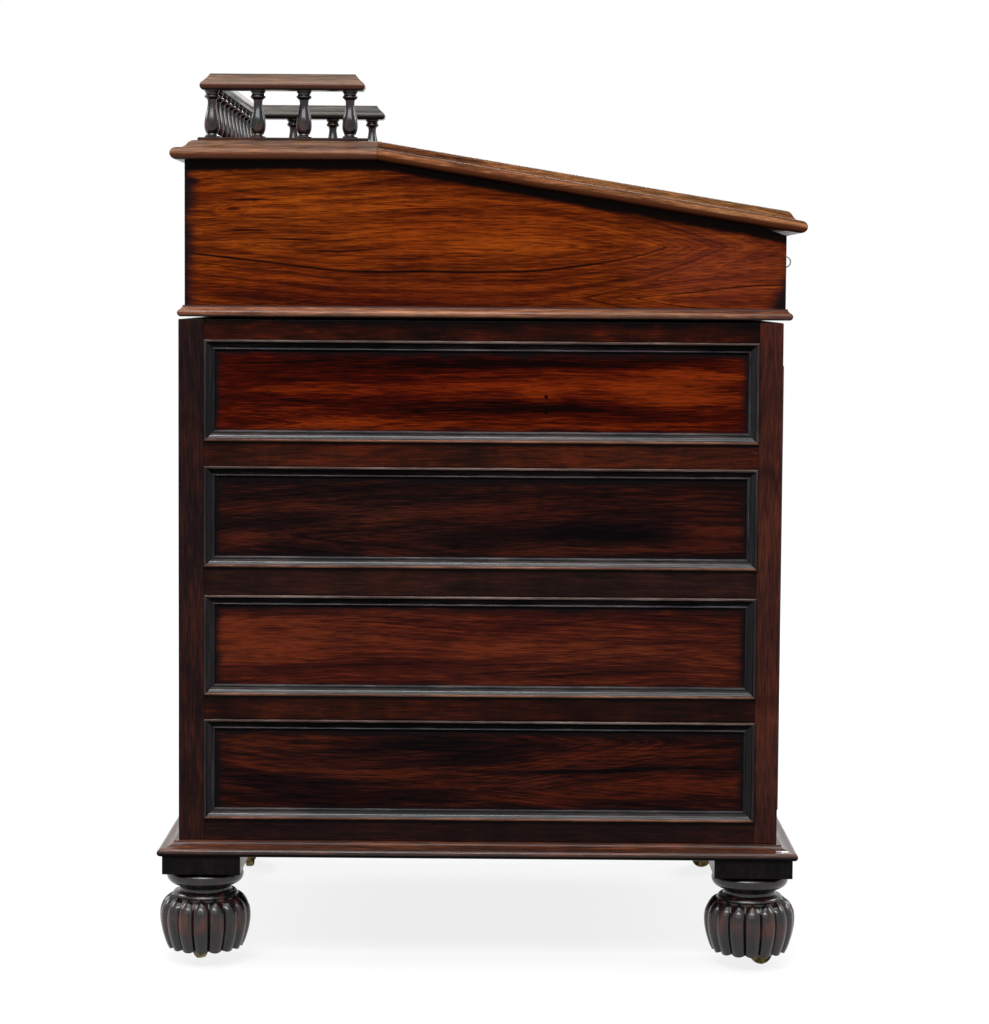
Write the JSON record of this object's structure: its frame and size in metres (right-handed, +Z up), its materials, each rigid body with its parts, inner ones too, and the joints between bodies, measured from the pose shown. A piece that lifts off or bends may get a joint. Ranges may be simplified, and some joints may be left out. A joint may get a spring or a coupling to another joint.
{
  "type": "davenport desk",
  "caption": "Small writing desk with a sliding, galleried box, sloped lid and side drawers on lobed bun feet.",
  "frame": {"origin": "on the floor, midway between the plinth's back edge and the lid's front edge, on the desk's centre plane", "axes": "+Z up, -Y towards the sitter, +X towards the side with the real drawers"},
  "size_m": [0.5517, 0.6665, 0.9099],
  "materials": {
    "rosewood": "french polished rosewood, red brown with black figure",
    "ebonised_rosewood": "near-black polished rosewood",
    "brass": "aged brass",
    "steel": "worn steel",
    "maple": "polished maple",
    "drawer_lining": "plain oiled lining timber",
    "leather": "green writing leather with a tooled border",
    "glass": "clear pressed glass"
  },
  "bodies": {
    "case": {"plinth": "rosewood", "corner_stiles": "rosewood", "side_rails": "rosewood", "case_back": "rosewood", "case_front": "rosewood", "case_top": "rosewood", "dust_boards": "drawer_lining", "drawer_guides": "drawer_lining", "feet": "ebonised_rosewood", "castor_sockets": "brass", "dummy_front_1": "rosewood", "dummy_front_2": "rosewood", "dummy_front_3": "rosewood", "dummy_front_4": "rosewood"},
    "writing_box": {"box_left_side": "rosewood", "box_right_side": "rosewood", "box_back": "rosewood", "box_bottom": "drawer_lining", "box_front": "rosewood", "waist_moulding": "ebonised_rosewood", "slide_battens": "drawer_lining", "fixed_top": "rosewood", "gallery_strip": "rosewood", "gallery_spindles": "ebonised_rosewood", "gallery_rail": "rosewood", "top_hinge_leaves": "brass", "lock_case": "brass", "lock_escutcheon": "brass", "interior_bank": "maple"},
    "lid": {"lid_board": "rosewood", "writing_leather": "leather", "lid_hinge_leaves": "brass", "lid_lock_keep": "brass"},
    "key": {"key": "steel"},
    "lock_bolt": {"lock_bolt": "brass"},
    "pen_drawer": {"pen_drawer": "rosewood", "inkwells": "glass"},
    "interior_drawer_upper": {"interior_drawer_upper": "maple"},
    "interior_drawer_lower": {"interior_drawer_lower": "maple"},
    "drawer_1": {"drawer_1_front": "rosewood", "drawer_1_box": "drawer_lining", "drawer_1_knobs": "ebonised_rosewood"},
    "drawer_2": {"drawer_2_front": "rosewood", "drawer_2_box": "drawer_lining", "drawer_2_knobs": "ebonised_rosewood"},
    "drawer_3": {"drawer_3_front": "rosewood", "drawer_3_box": "drawer_lining", "drawer_3_knobs": "ebonised_rosewood"},
    "drawer_4": {"drawer_4_front": "rosewood", "drawer_4_box": "drawer_lining", "drawer_4_knobs": "ebonised_rosewood"},
    "castor_back_left": {"castor_horn_back_left": "brass"},
    "wheel_back_left": {"castor_wheel_back_left": "brass"},
    "castor_back_right": {"castor_horn_back_right": "brass"},
    "wheel_back_right": {"castor_wheel_back_right": "brass"},
    "castor_front_left": {"castor_horn_front_left": "brass"},
    "wheel_front_left": {"castor_wheel_front_left": "brass"},
    "castor_front_right": {"castor_horn_front_right": "brass"},
    "wheel_front_right": {"castor_wheel_front_right": "brass"}
  },
  "joints": [
    {"name": "box_slide", "type": "slide", "parent": "case", "child": "writing_box", "axis": [0, -1, 0], "range_m": [0, 0.2]},
    {"name": "lid_hinge", "type": "hinge", "parent": "writing_box", "child": "lid", "pos_m": [0, 0.1059, 0.842], "axis": [-1, 0, 0], "range_deg": [0, 100]},
    {"name": "key_turn", "type": "hinge", "parent": "writing_box", "child": "key", "pos_m": [0, -0.2941, 0.7265], "axis": [0, 1, 0], "range_deg": [0, 90]},
    {"name": "bolt_throw", "type": "slide", "parent": "writing_box", "child": "lock_bolt", "axis": [0, 0, 1], "range_m": [0, 0.013]},
    {"name": "pen_drawer_slide", "type": "slide", "parent": "writing_box", "child": "pen_drawer", "axis": [1, 0, 0], "range_m": [0, 0.17]},
    {"name": "interior_drawer_upper_slide", "type": "slide", "parent": "writing_box", "child": "interior_drawer_upper", "axis": [0, -1, 0], "range_m": [0, 0.11]},
    {"name": "interior_drawer_lower_slide", "type": "slide", "parent": "writing_box", "child": "interior_drawer_lower", "axis": [0, -1, 0], "range_m": [0, 0.11]},
    {"name": "drawer_1_slide", "type": "slide", "parent": "case", "child": "drawer_1", "axis": [1, 0, 0], "range_m": [0, 0.33]},
    {"name": "drawer_2_slide", "type": "slide", "parent": "case", "child": "drawer_2", "axis": [1, 0, 0], "range_m": [0, 0.33]},
    {"name": "drawer_3_slide", "type": "slide", "parent": "case", "child": "drawer_3", "axis": [1, 0, 0], "range_m": [0, 0.33]},
    {"name": "drawer_4_slide", "type": "slide", "parent": "case", "child": "drawer_4", "axis": [1, 0, 0], "range_m": [0, 0.33]},
    {"name": "castor_back_left_swivel", "type": "hinge", "parent": "case", "child": "castor_back_left", "pos_m": [-0.228, 0.2814, 0.04], "axis": [0, 0, 1], "continuous": true},
    {"name": "wheel_back_left_roll", "type": "hinge", "parent": "castor_back_left", "child": "wheel_back_left", "pos_m": [-0.21588, 0.2884, 0.012], "axis": [-0.5, 0.866, 0], "continuous": true},
    {"name": "castor_back_right_swivel", "type": "hinge", "parent": "case", "child": "castor_back_right", "pos_m": [0.228, 0.2814, 0.04], "axis": [0, 0, 1], "continuous": true},
    {"name": "wheel_back_right_roll", "type": "hinge", "parent": "castor_back_right", "child": "wheel_back_right", "pos_m": [0.21431, 0.27849, 0.012], "axis": [0.2079, -0.9781, 0], "continuous": true},
    {"name": "castor_front_left_swivel", "type": "hinge", "parent": "case", "child": "castor_front_left", "pos_m": [-0.228, -0.2796, 0.04], "axis": [0, 0, 1], "continuous": true},
    {"name": "wheel_front_left_roll", "type": "hinge", "parent": "castor_front_left", "child": "wheel_front_left", "pos_m": [-0.22276, -0.29258, 0.012], "axis": [0.9272, 0.3746, 0], "continuous": true},
    {"name": "castor_front_right_swivel", "type": "hinge", "parent": "case", "child": "castor_front_right", "pos_m": [0.228, -0.2796, 0.04], "axis": [0, 0, 1], "continuous": true},
    {"name": "wheel_front_right_roll", "type": "hinge", "parent": "castor_front_right", "child": "wheel_front_right", "pos_m": [0.22898, -0.26563, 0.012], "axis": [-0.9976, 0.0698, 0], "continuous": true}
  ],
  "couplings": [
    {"joint": "key_turn", "follows": "bolt_throw", "rad_per_m": 120.83}
  ]
}
